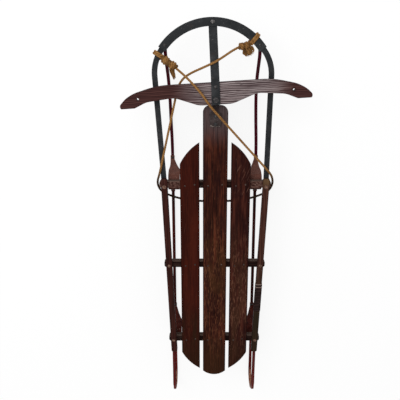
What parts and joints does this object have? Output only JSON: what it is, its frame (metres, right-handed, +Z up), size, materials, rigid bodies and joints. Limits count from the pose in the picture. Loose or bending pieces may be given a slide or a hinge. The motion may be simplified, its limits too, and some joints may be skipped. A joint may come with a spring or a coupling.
{
  "type": "steerable wooden sled",
  "caption": "Slatted wooden sled on steel runners with arched knees, looped runner tails, a steel bow, a wooden steering bar and a tow rope.",
  "frame": {"origin": "on the ground under the middle of the sled, on its middle line", "axes": "+Y forward to the bow, +X to the right, +Z up"},
  "size_m": [0.5427, 1.2537, 0.1901],
  "materials": {
    "deck_wood": "dark stained hardwood, worn",
    "rail_wood": "stained hardwood, worn",
    "bar_wood": "weathered grey-brown hardwood",
    "red_steel": "dark red paint, worn and rusty",
    "black_steel": "black paint, scuffed",
    "bolt_steel": "dull bare steel",
    "tape": "cloth tape, dark and ribbed",
    "rope": "twisted tan cotton rope"
  },
  "bodies": {
    "sled": {"slat_centre": "deck_wood", "pivot_plate": "black_steel", "rail_tape": "tape", "crossbar_front": "deck_wood", "crossbar_middle": "deck_wood", "crossbar_rear": "deck_wood", "steering_bolt": "bolt_steel", "slat_right": "deck_wood", "slat_left": "deck_wood", "rail_right": "rail_wood", "rail_left": "rail_wood", "runner_right": "red_steel", "runner_left": "red_steel", "knee_front_right": "red_steel", "knee_front_left": "red_steel", "knee_rear_right": "red_steel", "knee_rear_left": "red_steel", "rail_bolt_right": "bolt_steel", "rail_bolt_left": "bolt_steel", "tow_rope": "rope"},
    "steering": {"steering_bar": "bar_wood", "centre_strap": "black_steel", "bow_bolt": "bolt_steel"},
    "bow": {"bow": "black_steel", "rope_knot_right": "rope"},
    "side_strap_left": {"side_strap_left": "black_steel", "rope_knot_left": "rope"},
    "side_strap_right": {"side_strap_right": "black_steel"},
    "runner_front_left": {"runner_front_left": "red_steel"},
    "runner_front_right": {"runner_front_right": "red_steel"}
  },
  "joints": [
    {"name": "steer", "type": "hinge", "parent": "sled", "child": "steering", "pos_m": [0, 0.404, 0.1714], "axis": [0, 0, 1], "range_deg": [-10.6, 5.4], "deforming": ["tow_rope"]},
    {"name": "bow_turn", "type": "hinge", "parent": "steering", "child": "bow", "pos_m": [-0.00957, 0.61478, 0.15], "axis": [0, 0, 1], "range_deg": [-6.01, 11.6], "deforming": ["tow_rope"]},
    {"name": "strap_swing_left", "type": "hinge", "parent": "sled", "child": "side_strap_left", "pos_m": [-0.15204, 0.1435, 0.146], "axis": [0, 0, 1], "range_deg": [-5.8, 3.05], "deforming": ["tow_rope"]},
    {"name": "runner_bend_left", "type": "hinge", "parent": "sled", "child": "runner_front_left", "pos_m": [-0.133, 0.216, 0.007], "axis": [0, 0, 1], "range_deg": [-7, 3.67], "deforming": ["tow_rope"]},
    {"name": "strap_swing_right", "type": "hinge", "parent": "sled", "child": "side_strap_right", "pos_m": [0.15204, 0.1435, 0.146], "axis": [0, 0, 1], "range_deg": [-5.8, 3.05], "deforming": ["tow_rope"]},
    {"name": "runner_bend_right", "type": "hinge", "parent": "sled", "child": "runner_front_right", "pos_m": [0.133, 0.216, 0.007], "axis": [0, 0, 1], "range_deg": [-7, 3.67], "deforming": ["tow_rope"]}
  ],
  "couplings": [
    {"joint": "bow_turn", "follows": "steer", "ratio": -1.0756},
    {"joint": "strap_swing_left", "follows": "steer", "ratio": 0.52809},
    {"joint": "runner_bend_left", "follows": "steer", "ratio": 0.64201},
    {"joint": "strap_swing_right", "follows": "steer", "ratio": 0.52809},
    {"joint": "runner_bend_right", "follows": "steer", "ratio": 0.64201}
  ]
}
